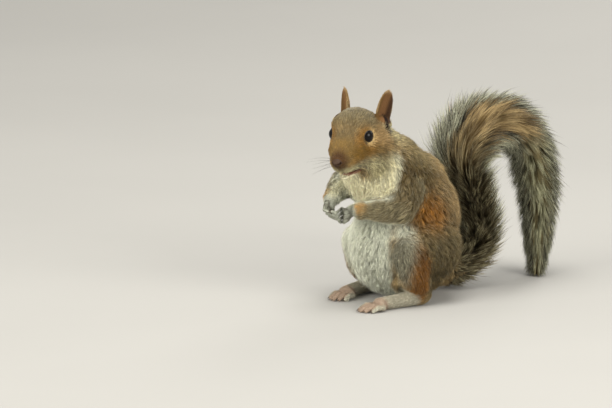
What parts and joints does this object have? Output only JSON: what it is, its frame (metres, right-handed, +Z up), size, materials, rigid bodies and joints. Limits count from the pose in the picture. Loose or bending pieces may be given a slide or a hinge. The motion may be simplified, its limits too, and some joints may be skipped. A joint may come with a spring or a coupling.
{
  "type": "squirrel model",
  "caption": "Life-size still model of an eastern grey squirrel sitting up, forepaws together at the chest, bushy tail arched behind.",
  "frame": {"origin": "middle of the base on the floor, under the middle of the whole model's box", "axes": "+Z up, -Y the way the body faces, +X the animal's left"},
  "size_m": [0.1012, 0.2494, 0.1717],
  "materials": {
    "coat_face": "fur, grizzled",
    "coat_nape": "fur, grizzled",
    "coat_body": "fur, grizzled",
    "coat_thigh_left": "fur, grizzled",
    "coat_thigh_right": "fur, grizzled",
    "coat_shank_left": "fur, grizzled",
    "coat_shank_right": "fur, grizzled",
    "foot_left": "short fine hair",
    "foot_right": "short fine hair",
    "coat_arm_left": "fur, grizzled",
    "coat_arm_right": "fur, grizzled",
    "coat_forearm_left": "fur, grizzled",
    "coat_forearm_right": "fur, grizzled",
    "hand_left": "short fine hair",
    "hand_right": "short fine hair",
    "ear_left": "short fine hair",
    "ear_right": "short fine hair",
    "tail_root": "fur, grizzled",
    "tail_rise": "fur, grizzled",
    "tail_crook": "fur, grizzled",
    "tail_arch": "fur, grizzled",
    "tail_fall": "fur, grizzled",
    "tail_tip": "fur, grizzled",
    "eye_left": "wet, glossy black-brown",
    "eye_right": "wet, glossy black-brown",
    "nose": "bare skin, slightly moist"
  },
  "bodies": {
    "root": {"head": "coat_face", "neck": "coat_nape", "trunk": "coat_body", "thigh_left": "coat_thigh_left", "thigh_right": "coat_thigh_right", "shank_left": "coat_shank_left", "shank_right": "coat_shank_right", "foot_left": "foot_left", "foot_right": "foot_right", "upper_arm_left": "coat_arm_left", "upper_arm_right": "coat_arm_right", "forearm_left": "coat_forearm_left", "forearm_right": "coat_forearm_right", "hand_left": "hand_left", "hand_right": "hand_right", "ear_left": "ear_left", "ear_right": "ear_right", "tail_root": "tail_root", "tail_rise": "tail_rise", "tail_crook": "tail_crook", "tail_arch": "tail_arch", "tail_fall": "tail_fall", "tail_tip": "tail_tip", "eye_left": "eye_left", "eye_right": "eye_right", "nose": "nose"}
  },
  "joints": []
}
